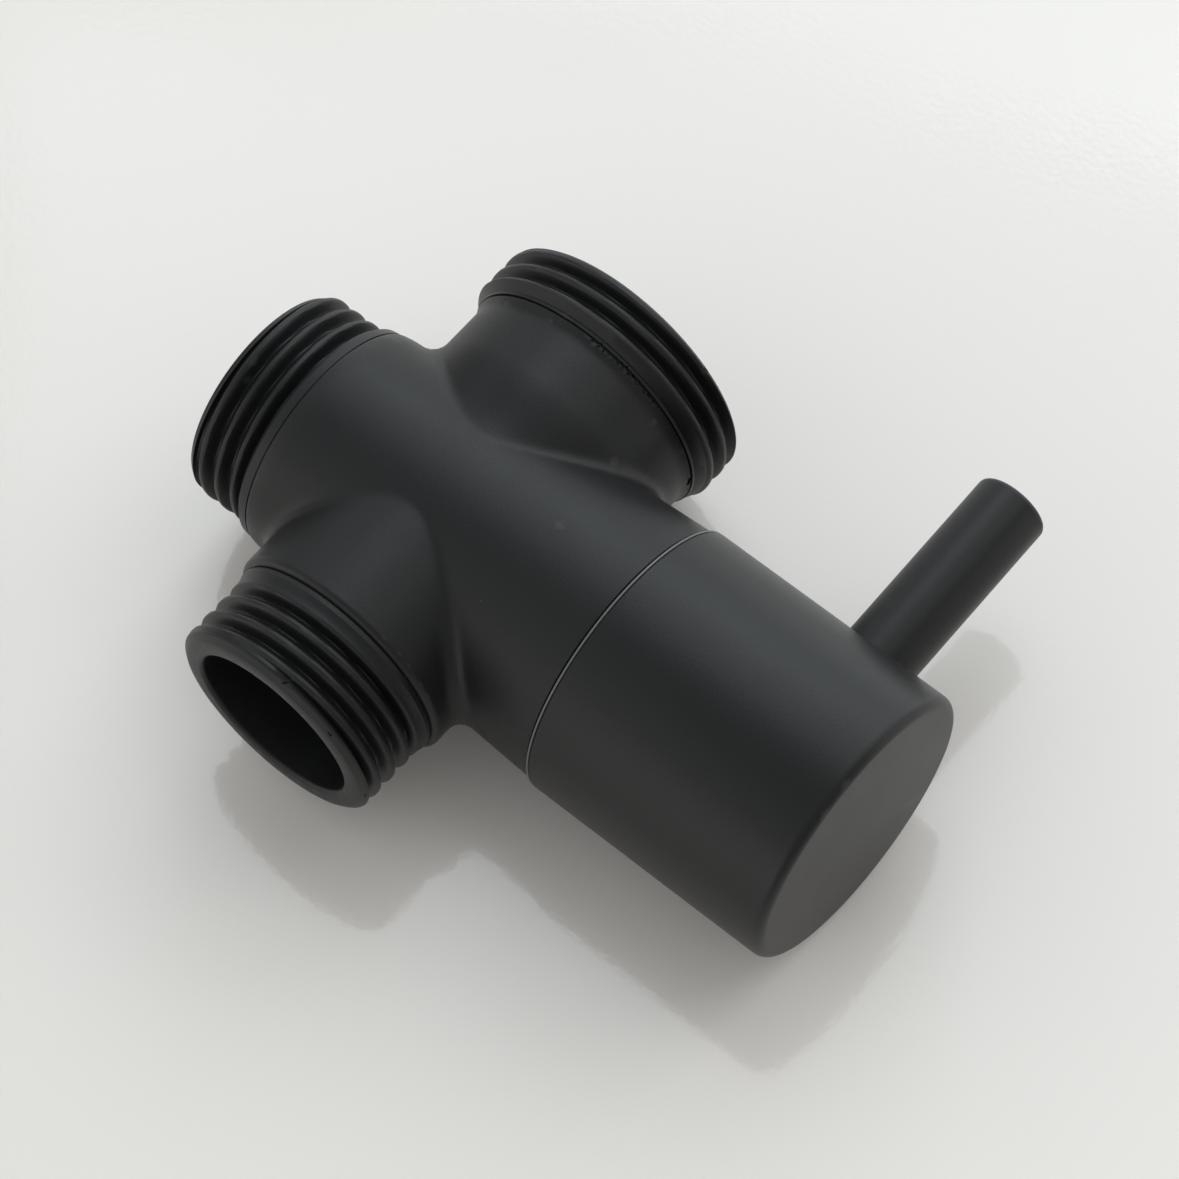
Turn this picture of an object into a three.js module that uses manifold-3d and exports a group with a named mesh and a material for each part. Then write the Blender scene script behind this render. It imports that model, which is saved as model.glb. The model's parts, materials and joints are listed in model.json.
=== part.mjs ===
// A manual three-way diverter valve: a cross-shaped body with three male pipe-thread ports, and a
// knob with a side lever that turns a hollow plug inside it. Millimetres, +Z up.
//
// The valve is built round the point where the port axes cross: +X runs along the barrel towards
// the knob, +Y towards side port B, -Y towards side port C and -X towards end port A. At the end
// the whole valve is moved so that its origin is the bottom centre of its bounding box.

import * as THREE from 'three';
import { mergeVertices } from 'three/addons/utils/BufferGeometryUtils.js';
import Module from 'manifold-3d';

const wasm = await Module();
wasm.setup();

// ---------------------------------------------------------------------------------------------
// Driving dimensions
// ---------------------------------------------------------------------------------------------

// Flat sides that stand for a full circle, on the large outer shapes, inner pieces and small pins
const OUTER_SIDES = 32;
const ROUND_SIDES = 24;
const SMALL_SIDES = 16;

// Parallel pipe threads: G1/2 and G3/4 both have 14 turns to the inch
const PITCH = 25.4 / 14;
const THREAD_DEPTH = 0.6403 * PITCH;
const CREST_FLAT = 0.3;
const HALF_INCH_RADIUS = 20.955 / 2;
const THREE_QUARTER_RADIUS = 26.441 / 2;

// The three ports. reach is from the crossing point to the end face, firstCrest from the end face
// to the middle of the outermost thread crest.
const PORT_A = {
  reach: 22.2, neckRadius: 10.9, neckEnd: 15.7, threadRadius: HALF_INCH_RADIUS, crests: 3,
  firstCrest: 1.3, shoulderRadius: 9.9, shoulderFromFace: 0.3, faceRadius: 9.5,
  boreRadius: 8.0, mouthRadius: 8.4, throatRadius: 8.0, throatStart: 9.0, throatEnd: 7.0,
};
const PORT_B = {
  reach: 22.7, neckRadius: 12.0, neckEnd: 16.9, threadRadius: THREE_QUARTER_RADIUS, crests: 3,
  firstCrest: 0.5, shoulderRadius: 13.0, shoulderFromFace: 0.2, faceRadius: 12.7,
  boreRadius: 10.0, mouthRadius: 10.4, throatRadius: 5.0, throatStart: 15.0, throatEnd: 12.2,
};
const PORT_C = {
  reach: 24.04, neckRadius: 11.2, neckEnd: 15.6, threadRadius: HALF_INCH_RADIUS, crests: 4,
  firstCrest: 1.55, shoulderRadius: 10.27, shoulderFromFace: 0.6, faceRadius: 9.8,
  boreRadius: 8.0, mouthRadius: 8.44, throatRadius: 5.0, throatStart: 14.5, throatEnd: 12.2,
};
const MOUTH_CHAMFER = 0.4;

// Barrel: slightly conical, with a spigot that carries the glide ring
const BARREL_START = -15.7;
const BARREL_START_RADIUS = 10.9;
const BARREL_WAIST = -13.0;
const BARREL_WAIST_RADIUS = 11.35;
const BARREL_END = 19.15;
const BARREL_RADIUS = 13.1;
const SPIGOT_END = 22.4;
const SPIGOT_RADIUS = 11.2;

// Chamber and the key slot that stops the liner from turning
const CHAMBER_START = -8.9;
const CHAMBER_RADIUS = 9.6;
const KEY_WIDTH = 2.0;
const KEY_HEIGHT = 0.8;
const KEY_LENGTH = 4.0;
const KEY_GAP = 0.2;

// Liner
const SLEEVE_START = -8.7;
const SLEEVE_END = 12.6;
const SLEEVE_RADIUS = 9.4;
const SLEEVE_BORE = 7.5;
const SLEEVE_LIP = 0.9;
const SLEEVE_LIP_BORE = 5.9;
const WINDOW_RADIUS = 4.6;

// Rotor
const ROTOR_START = -7.5;
const ROTOR_END = 9.2;
const ROTOR_RADIUS = 7.3;
const ROTOR_BORE = 5.4;
const ROTOR_BORE_END = 5.4;
const PAD_RADIUS = 5.4;
const PAD_FLOOR = 6.2;

// Rubber rings: a groove is as deep and as wide as its ring plus a little play
const SLEEVE_RING = { section: 1.1, at: [-7.1, 7.6] };
const ROTOR_RING = { section: 1.0, at: [-6.4, 7.9] };
const STEM_RING = { section: 1.1, at: [15.2, 18.4] };
const BONNET_RING = { section: 1.2, at: 15.0 };
const RING_PLAY = 0.12;
const PORT_SEAL_INNER = 5.1;
const PORT_SEAL_OUTER = 6.3;
const PORT_SEAL_FLOOR = 8.4;
const SEAL_GAP = 0.12;

// Spindle
const STEM_RADIUS = 4.0;
const COLLAR_START = 11.0;
const COLLAR_END = 12.0;
const COLLAR_RADIUS = 6.2;
const TONGUE_WIDTH = 3.0;
const TONGUE_SPAN = 8.6;
const TONGUE_START = 7.0;
const SLOT_GAP = 0.2;
const STEM_PLAIN_END = 26.95;
const SPLINE_END = 36.0;
const SPLINE_TEETH = 20;
const SPLINE_OUTER = 3.9;
const SPLINE_ROOT = 3.45;
const SPLINE_GAP = 0.12;

// Bonnet, its washer and its circlip
const BONNET_START = 12.8;
const BONNET_RADIUS = 9.45;
const BONNET_BORE = 4.14;
const HEXAGON_START = 22.6;
const HEXAGON_END = 26.0;
const HEXAGON_ACROSS_FLATS = 17.0;
const WASHER = { start: 12.15, end: 12.65, inner: 4.2, outer: 6.9 };
const CIRCLIP = { start: 26.15, end: 26.65, inner: 3.3, outer: 5.2, opening: 60 };
const CIRCLIP_GROOVE_RADIUS = 3.2;

// End stop: a fixed pin and a skirt on the adapter that leaves the turn free between its ends
const TURN = 180;
const STOP_PIN_ANGLE = 270;
const STOP_PIN = { start: 23.6, end: 28.1, radius: 0.8, reach: 7.0 };
const STOP_SLACK = 1.0;
const SKIRT = { start: 27.0, end: 28.5, inner: 5.0, outer: 8.2 };

// Knob, adapter, lever and grub screw
const LEVER_TILT = 2.1;
const KNOB_START = 19.65;
const KNOB_END = 44.7;
const KNOB_RADIUS = 13.44;
const KNOB_EDGE = 1.0;
const KNOB_CAVITY_RADIUS = 11.95;
const KNOB_CAVITY_END = 28.8;
const ADAPTER_END = 37.0;
const ADAPTER_FLOOR = 0.6;
const ADAPTER_ACROSS_FLATS = 9.6;
const SOCKET_GAP = 0.15;
const GLIDE_RING = { start: 19.35, flange: 0.2, end: 22.2, inner: 11.35, outer: 13.4, sleeve: 11.75 };
const LEVER_PLACE = 35.94;
const LEVER_RADIUS = 3.5;
const LEVER_REACH = 32.38;
const LEVER_EDGE = 0.56;
const LEVER_SEAT = 12.85;
const STUD_RADIUS = 2.0;
const STUD_FOOT = 7.4;
const GRUB_PLACE = 31.4;
const GRUB = { radius: 2.0, inner: 5.1, outer: 12.9, socketRadius: 1.15, socketDepth: 2.0 };
const HOLE_GAP = 0.15;
const EPSILON = 0.5;

// ---------------------------------------------------------------------------------------------
// Materials
// ---------------------------------------------------------------------------------------------

const blackCoat = () => new THREE.MeshStandardMaterial({ color: 0x2b2f30, roughness: 0.45, metalness: 0.1 });
const palePlastic = () => new THREE.MeshStandardMaterial({ color: 0xc4c6c3, roughness: 0.5, metalness: 0 });
const whitePlastic = () => new THREE.MeshStandardMaterial({ color: 0xe6e3dc, roughness: 0.55, metalness: 0 });
const rubber = () => new THREE.MeshStandardMaterial({ color: 0x17181a, roughness: 0.8, metalness: 0 });
const brass = () => new THREE.MeshStandardMaterial({ color: 0xb8923f, roughness: 0.35, metalness: 1 });
const steel = () => new THREE.MeshStandardMaterial({ color: 0x8f9294, roughness: 0.35, metalness: 1 });

// ---------------------------------------------------------------------------------------------
// Solids
// ---------------------------------------------------------------------------------------------

/** A closed geometry as a solid that can be cut and joined. */
function solidOf(geometry) {
  const bare = geometry.clone();
  bare.deleteAttribute('normal');
  bare.deleteAttribute('uv');
  const merged = mergeVertices(bare, 1e-4);
  const corners = Array.from(merged.index.array);
  const triangles = [];
  for (let i = 0; i < corners.length; i += 3) {
    const [a, b, c] = corners.slice(i, i + 3);
    if (a !== b && b !== c && c !== a) triangles.push(a, b, c);
  }
  return new wasm.Manifold(new wasm.Mesh({
    numProp: 3,
    vertProperties: new Float32Array(merged.attributes.position.array),
    triVerts: new Uint32Array(triangles),
  }));
}

/** A solid's triangles as a geometry. */
function geometryOf(solid) {
  const mesh = solid.getMesh();
  const geometry = new THREE.BufferGeometry();
  geometry.setAttribute('position', new THREE.BufferAttribute(mesh.vertProperties, mesh.numProp));
  geometry.setIndex(new THREE.BufferAttribute(mesh.triVerts, 1));
  geometry.computeVertexNormals();
  return geometry;
}

const AXIS_TURN = { '+X': -Math.PI / 2, '-X': Math.PI / 2, '+Y': 0, '-Y': Math.PI };

/**
 * Turns a profile of [along, radius] points about an axis through the crossing point. The outer
 * side runs in the direction of the axis; a ring's inner side runs back.
 */
function turned(profile, axis = '+X', sides = ROUND_SIDES) {
  const points = profile.map(([along, radius]) => new THREE.Vector2(radius, along));
  return solidOf(new THREE.LatheGeometry(points, sides).rotateZ(AXIS_TURN[axis]));
}

/** A round bar between two places on an axis. */
function bar(start, end, radius, axis = '+X', sides = ROUND_SIDES) {
  return turned([[start, 0], [start, radius], [end, radius], [end, 0]], axis, sides);
}

/** A tube between two places on an axis. */
function tube(start, end, inner, outer, axis = '+X', sides = ROUND_SIDES) {
  const loop = [[start, inner], [start, outer], [end, outer], [end, inner], [start, inner]];
  return turned(loop, axis, sides);
}

/** A prism along +X from start to end, of an outline given in the Y-Z plane. */
function prism(outline, start, end) {
  const shape = new THREE.Shape(outline.map(([y, z]) => new THREE.Vector2(y, z)));
  const geometry = new THREE.ExtrudeGeometry(shape, { depth: end - start, bevelEnabled: false });
  geometry.applyMatrix4(new THREE.Matrix4().set(
    0, 0, 1, start,
    1, 0, 0, 0,
    0, 1, 0, 0,
    0, 0, 0, 1,
  ));
  return solidOf(geometry);
}

/** Corners of a regular polygon in the Y-Z plane, with one flat facing -Z. */
function polygon(count, acrossFlats) {
  const radius = acrossFlats / 2 / Math.cos(Math.PI / count);
  return Array.from({ length: count }, (_, i) => {
    const angle = -Math.PI / 2 + Math.PI * (2 * i + 1) / count;
    return [radius * Math.cos(angle), radius * Math.sin(angle)];
  });
}

/** A box from its lowest and highest corners. */
function block([x0, y0, z0], [x1, y1, z1]) {
  const geometry = new THREE.BoxGeometry(x1 - x0, y1 - y0, z1 - z0);
  return solidOf(geometry.translate((x0 + x1) / 2, (y0 + y1) / 2, (z0 + z1) / 2));
}

/** A rubber ring of a many-sided section, whose outside just reaches a radius. */
function rubberRing(place, outer, section) {
  const middle = outer - section / 2;
  const corners = 6;
  const loop = Array.from({ length: corners + 1 }, (_, i) => {
    const angle = -2 * Math.PI * (i % corners) / corners;
    return [place + Math.cos(angle) * section / 2, middle - Math.sin(angle) * section / 2];
  });
  return turned(loop.reverse());
}

/** The groove that a rubber ring sits in, as a tube to cut away. */
function ringGroove(place, surface, section) {
  const half = section / 2 + RING_PLAY;
  return tube(place - half, place + half, surface - section, surface + EPSILON);
}

/** A bar moved from the axis of the valve onto its own axis along +X. */
function barBeside(start, end, radius, reach, angle) {
  const turn = THREE.MathUtils.degToRad(angle);
  return bar(start, end, radius, '+X', SMALL_SIDES).translate([0, reach * Math.cos(turn), reach * Math.sin(turn)]);
}

/** A wedge-shaped stretch of a tube about +X, from one angle round through a sweep, in degrees. */
function tubeStretch(start, end, inner, outer, from, sweep) {
  const steps = Math.ceil(sweep / 10);
  const ring = (radius, i) => {
    const angle = THREE.MathUtils.degToRad(from + sweep * i / steps);
    return [radius * Math.cos(angle), radius * Math.sin(angle)];
  };
  const outside = Array.from({ length: steps + 1 }, (_, i) => ring(outer, i));
  const inside = Array.from({ length: steps + 1 }, (_, i) => ring(inner, steps - i));
  return prism([...outside, ...inside], start, end);
}

// ---------------------------------------------------------------------------------------------
// Body
// ---------------------------------------------------------------------------------------------

/** Outside of a port: neck, thread and rounded end, turned about its own axis. */
function portNeck(port, axis) {
  const root = port.threadRadius - THREAD_DEPTH;
  const crestPlaces = Array.from({ length: port.crests }, (_, i) => (
    port.reach - port.firstCrest - (port.crests - 1 - i) * PITCH
  ));
  const ridges = crestPlaces.flatMap((crest) => [
    [crest - PITCH / 2, root],
    [crest - CREST_FLAT / 2, port.threadRadius],
    [crest + CREST_FLAT / 2, port.threadRadius],
  ]);
  return turned([
    [0, 0],
    [0, port.neckRadius],
    [port.neckEnd, port.neckRadius],
    ...ridges,
    [port.reach - port.shoulderFromFace, port.shoulderRadius],
    [port.reach, port.faceRadius],
    [port.reach, 0],
  ], axis, OUTER_SIDES);
}

/** The way through a port: chamfered mouth, bore, and a cone down to the throat. */
function portBore(port, axis) {
  return turned([
    [0, 0],
    [0, port.throatRadius],
    [port.throatEnd, port.throatRadius],
    [port.throatStart, port.boreRadius],
    [port.reach - MOUTH_CHAMFER, port.boreRadius],
    [port.reach, port.mouthRadius],
    [port.reach + EPSILON, port.mouthRadius],
    [port.reach + EPSILON, 0],
  ], axis, OUTER_SIDES);
}

function barrel() {
  return turned([
    [BARREL_START, 0],
    [BARREL_START, BARREL_START_RADIUS],
    [BARREL_WAIST, BARREL_WAIST_RADIUS],
    [BARREL_END, BARREL_RADIUS],
    [BARREL_END, SPIGOT_RADIUS],
    [SPIGOT_END, SPIGOT_RADIUS],
    [SPIGOT_END, 0],
  ], '+X', OUTER_SIDES);
}

/** The liner's key (gap 0) or the slot in the body that takes it. */
function key(gap) {
  return block(
    [SLEEVE_END - KEY_LENGTH - gap, -KEY_WIDTH / 2 - gap, -SLEEVE_RADIUS - KEY_HEIGHT - gap],
    [gap > 0 ? SPIGOT_END + EPSILON : SLEEVE_END, KEY_WIDTH / 2 + gap, -SLEEVE_RADIUS + EPSILON],
  );
}

function valveBody() {
  return barrel()
    .add(portNeck(PORT_A, '-X'))
    .add(portNeck(PORT_B, '+Y'))
    .add(portNeck(PORT_C, '-Y'))
    .subtract(portBore(PORT_A, '-X'))
    .subtract(portBore(PORT_B, '+Y'))
    .subtract(portBore(PORT_C, '-Y'))
    .subtract(bar(CHAMBER_START, SPIGOT_END + EPSILON, CHAMBER_RADIUS, '+X', OUTER_SIDES))
    .subtract(key(KEY_GAP));
}

// ---------------------------------------------------------------------------------------------
// Stationary pieces in the chamber
// ---------------------------------------------------------------------------------------------

/** A saddle round one side window, that follows the liner's wall between two radii. */
function saddle(axis, floor, top, inner, outer) {
  return tube(0, top + EPSILON, inner, outer, axis)
    .intersect(tube(-outer - EPSILON, outer + EPSILON, floor, top));
}

/** One side window of the liner, with the recess for its seal. */
function linerWindow(axis) {
  const top = SLEEVE_RADIUS + EPSILON;
  const inner = PORT_SEAL_INNER - SEAL_GAP;
  const outer = PORT_SEAL_OUTER + SEAL_GAP;
  return bar(0, top, WINDOW_RADIUS, axis).add(saddle(axis, PORT_SEAL_FLOOR - SEAL_GAP, top, inner, outer));
}

function cartridgeSleeve() {
  let sleeve = turned([
    [SLEEVE_START, SLEEVE_LIP_BORE],
    [SLEEVE_START, SLEEVE_RADIUS],
    [SLEEVE_END, SLEEVE_RADIUS],
    [SLEEVE_END, SLEEVE_BORE],
    [SLEEVE_START + SLEEVE_LIP, SLEEVE_BORE],
    [SLEEVE_START + SLEEVE_LIP, SLEEVE_LIP_BORE],
    [SLEEVE_START, SLEEVE_LIP_BORE],
  ]).add(key(0)).subtract(linerWindow('+Y')).subtract(linerWindow('-Y'));
  for (const place of SLEEVE_RING.at) {
    sleeve = sleeve.subtract(ringGroove(place, SLEEVE_RADIUS, SLEEVE_RING.section));
  }
  return sleeve;
}

/** Saddle-shaped seal between the liner and the chamber wall, round one side window. */
function portSeal(axis) {
  return saddle(axis, PORT_SEAL_FLOOR, SLEEVE_RADIUS + RING_PLAY / 2, PORT_SEAL_INNER, PORT_SEAL_OUTER);
}

function bonnet() {
  return bar(BONNET_START, HEXAGON_START, BONNET_RADIUS)
    .add(prism(polygon(6, HEXAGON_ACROSS_FLATS), HEXAGON_START, HEXAGON_END))
    .subtract(bar(BONNET_START - EPSILON, HEXAGON_END + EPSILON, BONNET_BORE))
    .subtract(ringGroove(BONNET_RING.at, BONNET_RADIUS, BONNET_RING.section))
    .subtract(barBeside(
      STOP_PIN.start - HOLE_GAP, HEXAGON_END + EPSILON, STOP_PIN.radius + HOLE_GAP,
      STOP_PIN.reach, STOP_PIN_ANGLE,
    ));
}

function stopPin() {
  return barBeside(STOP_PIN.start, STOP_PIN.end, STOP_PIN.radius, STOP_PIN.reach, STOP_PIN_ANGLE);
}

/** The thin ring seen between body and knob, with the short sleeve that centres the knob. */
function glideRing() {
  const ring = GLIDE_RING;
  return turned([
    [ring.start, ring.inner],
    [ring.start, ring.outer],
    [ring.start + ring.flange, ring.outer],
    [ring.start + ring.flange, ring.sleeve],
    [ring.end, ring.sleeve],
    [ring.end, ring.inner],
    [ring.start, ring.inner],
  ]);
}

// ---------------------------------------------------------------------------------------------
// Turning pieces, drawn with the lever along +Y
// ---------------------------------------------------------------------------------------------

/** The stem's tongue (gap 0) or the slot in the rotor that takes it. */
function tongue(gap) {
  return block(
    [TONGUE_START - gap, -TONGUE_SPAN / 2 - gap, -TONGUE_WIDTH / 2 - gap],
    [gap > 0 ? ROTOR_END + EPSILON : COLLAR_START + EPSILON, TONGUE_SPAN / 2 + gap, TONGUE_WIDTH / 2 + gap],
  );
}

/** Hollow plug: open to port A, one window towards the lever's side, a seal pad on the other. */
function diverterRotor() {
  let rotor = bar(ROTOR_START, ROTOR_END, ROTOR_RADIUS)
    .subtract(bar(ROTOR_START - EPSILON, ROTOR_BORE_END, ROTOR_BORE))
    .subtract(bar(0, ROTOR_RADIUS + EPSILON, WINDOW_RADIUS, '+Y'))
    .subtract(bar(PAD_FLOOR - SEAL_GAP, ROTOR_RADIUS + EPSILON, PAD_RADIUS + SEAL_GAP, '-Y'))
    .subtract(tongue(SLOT_GAP));
  for (const place of ROTOR_RING.at) {
    rotor = rotor.subtract(ringGroove(place, ROTOR_RADIUS, ROTOR_RING.section));
  }
  return rotor;
}

function shutoffPad() {
  return bar(PAD_FLOOR, ROTOR_RADIUS + EPSILON, PAD_RADIUS, '-Y')
    .intersect(bar(-PAD_RADIUS - EPSILON, PAD_RADIUS + EPSILON, ROTOR_RADIUS));
}

/** Outline of a toothed shaft end, each tooth a plain trapezium. */
function splineOutline(gap) {
  const outline = [];
  const toothAngle = 2 * Math.PI / SPLINE_TEETH;
  for (let tooth = 0; tooth < SPLINE_TEETH; tooth += 1) {
    const middle = tooth * toothAngle;
    const corners = [[-0.34, SPLINE_ROOT], [-0.14, SPLINE_OUTER], [0.14, SPLINE_OUTER], [0.34, SPLINE_ROOT]];
    for (const [share, radius] of corners) {
      const angle = middle + share * toothAngle;
      outline.push([(radius + gap) * Math.cos(angle), (radius + gap) * Math.sin(angle)]);
    }
  }
  return outline;
}

function spindle() {
  let stem = turned([
    [COLLAR_START, 0],
    [COLLAR_START, COLLAR_RADIUS],
    [COLLAR_END, COLLAR_RADIUS],
    [COLLAR_END, STEM_RADIUS],
    [STEM_PLAIN_END, STEM_RADIUS],
    [STEM_PLAIN_END, 0],
  ]).add(tongue(0)).add(prism(splineOutline(0), STEM_PLAIN_END - EPSILON, SPLINE_END));
  for (const place of STEM_RING.at) {
    stem = stem.subtract(ringGroove(place, STEM_RADIUS, STEM_RING.section));
  }
  const grooveStart = CIRCLIP.start - RING_PLAY;
  const grooveEnd = CIRCLIP.end + RING_PLAY;
  return stem.subtract(tube(grooveStart, grooveEnd, CIRCLIP_GROOVE_RADIUS, STEM_RADIUS + EPSILON));
}

function circlip() {
  const from = CIRCLIP.opening / 2;
  return tubeStretch(CIRCLIP.start, CIRCLIP.end, CIRCLIP.inner, CIRCLIP.outer, from, 360 - CIRCLIP.opening);
}

/** Plastic insert between spline and knob, with the skirt whose ends meet the stop pin. */
function splineAdapter() {
  const pinShare = THREE.MathUtils.radToDeg(Math.asin(STOP_PIN.radius / STOP_PIN.reach)) + STOP_SLACK;
  const skirtSweep = 360 - TURN - 2 * pinShare;
  const skirtFrom = STOP_PIN_ANGLE + pinShare;
  return prism(polygon(6, ADAPTER_ACROSS_FLATS), SKIRT.start, ADAPTER_END)
    .add(tubeStretch(SKIRT.start, SKIRT.end, SKIRT.inner - EPSILON, SKIRT.outer, skirtFrom, skirtSweep))
    .subtract(prism(splineOutline(SPLINE_GAP), SKIRT.start - EPSILON, ADAPTER_END - ADAPTER_FLOOR));
}

/** Profile points of a rounded outer edge, from the flank to the end face. */
function roundedEdge(end, radius, edge, steps = 3) {
  return Array.from({ length: steps + 1 }, (_, i) => {
    const angle = (Math.PI / 2) * i / steps;
    return [end - edge + edge * Math.sin(angle), radius - edge + edge * Math.cos(angle)];
  });
}

function knobShell() {
  const outside = turned([
    [KNOB_START, 0],
    [KNOB_START, KNOB_RADIUS],
    ...roundedEdge(KNOB_END, KNOB_RADIUS, KNOB_EDGE),
    [KNOB_END, 0],
  ], '+X', OUTER_SIDES);
  const seat = bar(LEVER_SEAT, KNOB_RADIUS + EPSILON, LEVER_RADIUS + HOLE_GAP, '+Y');
  const studHole = bar(STUD_FOOT - HOLE_GAP, KNOB_RADIUS, STUD_RADIUS + HOLE_GAP, '+Y', SMALL_SIDES);
  const grubHole = bar(0, KNOB_RADIUS + EPSILON, GRUB.radius + HOLE_GAP, '+Y', SMALL_SIDES);
  const socketFlats = ADAPTER_ACROSS_FLATS + 2 * SOCKET_GAP;
  return outside
    .subtract(bar(KNOB_START - EPSILON, KNOB_CAVITY_END, KNOB_CAVITY_RADIUS))
    .subtract(prism(polygon(6, socketFlats), KNOB_CAVITY_END - EPSILON, ADAPTER_END + SOCKET_GAP))
    .subtract(seat.add(studHole).translate([LEVER_PLACE, 0, 0]))
    .subtract(grubHole.rotate([-90, 0, 0]).translate([GRUB_PLACE, 0, 0]));
}

function leverPin() {
  const rod = turned([
    [STUD_FOOT, 0],
    [STUD_FOOT, STUD_RADIUS],
    [LEVER_SEAT + HOLE_GAP, STUD_RADIUS],
    [LEVER_SEAT + HOLE_GAP, LEVER_RADIUS],
    ...roundedEdge(LEVER_REACH, LEVER_RADIUS, LEVER_EDGE),
    [LEVER_REACH, 0],
  ], '+Y');
  return rod.translate([LEVER_PLACE, 0, 0]);
}

/** Set screw on the underside of the knob, its socket facing out. */
function grubScrew() {
  const screw = bar(GRUB.inner, GRUB.outer, GRUB.radius, '+Y', SMALL_SIDES)
    .subtract(bar(GRUB.outer - GRUB.socketDepth, GRUB.outer + EPSILON, GRUB.socketRadius, '+Y', 6));
  return screw.rotate([-90, 0, 0]).translate([GRUB_PLACE, 0, 0]);
}

// ---------------------------------------------------------------------------------------------
// Assembly
// ---------------------------------------------------------------------------------------------

function named(name, solid, material) {
  const mesh = new THREE.Mesh(geometryOf(solid), material);
  mesh.name = name;
  return mesh;
}

const fixed = new THREE.Group();
fixed.add(
  named('valve_body', valveBody(), blackCoat()),
  named('cartridge_sleeve', cartridgeSleeve(), whitePlastic()),
  named('port_b_seal', portSeal('+Y'), rubber()),
  named('port_c_seal', portSeal('-Y'), rubber()),
  named('bonnet', bonnet(), brass()),
  named('bonnet_oring', rubberRing(BONNET_RING.at, BONNET_RADIUS + RING_PLAY / 2, BONNET_RING.section), rubber()),
  named('thrust_washer', tube(WASHER.start, WASHER.end, WASHER.inner, WASHER.outer), whitePlastic()),
  named('stop_pin', stopPin(), steel()),
  named('glide_ring', glideRing(), palePlastic()),
);

const turning = new THREE.Group();
turning.rotation.x = THREE.MathUtils.degToRad(LEVER_TILT);
turning.add(
  named('diverter_rotor', diverterRotor(), brass()),
  named('shutoff_pad', shutoffPad(), rubber()),
  named('spindle', spindle(), brass()),
  named('circlip', circlip(), steel()),
  named('spline_adapter', splineAdapter(), whitePlastic()),
  named('knob_shell', knobShell(), blackCoat()),
  named('lever_pin', leverPin(), blackCoat()),
  named('knob_grub_screw', grubScrew(), steel()),
);

const ringSides = ['inner', 'outer'];
ringSides.forEach((side, i) => {
  const sleeveRing = rubberRing(SLEEVE_RING.at[i], SLEEVE_RADIUS + RING_PLAY / 2, SLEEVE_RING.section);
  fixed.add(named(`sleeve_oring_${side}`, sleeveRing, rubber()));
  const rotorRing = rubberRing(ROTOR_RING.at[i], ROTOR_RADIUS + RING_PLAY / 2, ROTOR_RING.section);
  turning.add(named(`rotor_oring_${side}`, rotorRing, rubber()));
  const stemRing = rubberRing(STEM_RING.at[i], STEM_RADIUS + RING_PLAY / 2, STEM_RING.section);
  turning.add(named(`spindle_oring_${side}`, stemRing, rubber()));
});

const valve = new THREE.Group();
valve.add(fixed, turning);

const extent = new THREE.Box3().setFromObject(valve, true);
const middle = extent.getCenter(new THREE.Vector3());
valve.position.set(-middle.x, -middle.y, -extent.min.z);

const model = new THREE.Group();
model.add(valve);

export default model;
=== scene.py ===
"""Looks of a manual three-way diverter valve: a coated cross-shaped body with three male
pipe-thread ports, a thin grey glide ring, and a plain round knob with a side lever.

Shapes are worked out in millimetres round the point where the port axes cross: +X runs along the
barrel towards the knob, +Y towards side port B, -Y towards side port C and -X towards end port A.
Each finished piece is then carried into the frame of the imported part, in metres.
"""

import json
import math

import bpy
import numpy as np
from mathutils import Matrix, Vector


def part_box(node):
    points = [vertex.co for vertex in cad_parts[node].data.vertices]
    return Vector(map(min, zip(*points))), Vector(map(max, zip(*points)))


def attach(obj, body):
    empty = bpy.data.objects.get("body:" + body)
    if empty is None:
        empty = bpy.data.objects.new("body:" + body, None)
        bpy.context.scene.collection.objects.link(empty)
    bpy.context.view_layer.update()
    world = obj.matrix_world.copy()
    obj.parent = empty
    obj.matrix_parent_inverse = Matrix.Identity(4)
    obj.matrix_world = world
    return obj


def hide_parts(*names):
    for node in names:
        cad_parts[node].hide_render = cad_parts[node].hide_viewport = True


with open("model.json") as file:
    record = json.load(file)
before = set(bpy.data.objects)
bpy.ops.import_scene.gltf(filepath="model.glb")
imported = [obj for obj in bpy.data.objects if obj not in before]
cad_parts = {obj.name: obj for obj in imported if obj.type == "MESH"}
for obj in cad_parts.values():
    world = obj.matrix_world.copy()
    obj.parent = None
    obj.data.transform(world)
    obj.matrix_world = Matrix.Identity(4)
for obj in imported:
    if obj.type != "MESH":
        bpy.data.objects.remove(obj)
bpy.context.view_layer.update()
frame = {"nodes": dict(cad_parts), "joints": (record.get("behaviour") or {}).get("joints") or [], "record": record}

MM = 1000.0

# ------------------------------------------------------------------------------------------------
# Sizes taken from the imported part, in millimetres round the crossing point
# ------------------------------------------------------------------------------------------------

KNOB_TURN = frame["joints"][0]
MOUNTS = {mount["name"]: mount["pos_m"] for mount in frame["record"]["mounts"]}
CENTRE = np.array([MOUNTS["port_b"][0], KNOB_TURN["pos_m"][1], KNOB_TURN["pos_m"][2]]) * MM


def corner(node, which, axis):
    """Place of one side of a node's box along an axis, from the crossing point."""
    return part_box(node)[which][axis] * MM - CENTRE[axis]


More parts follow.
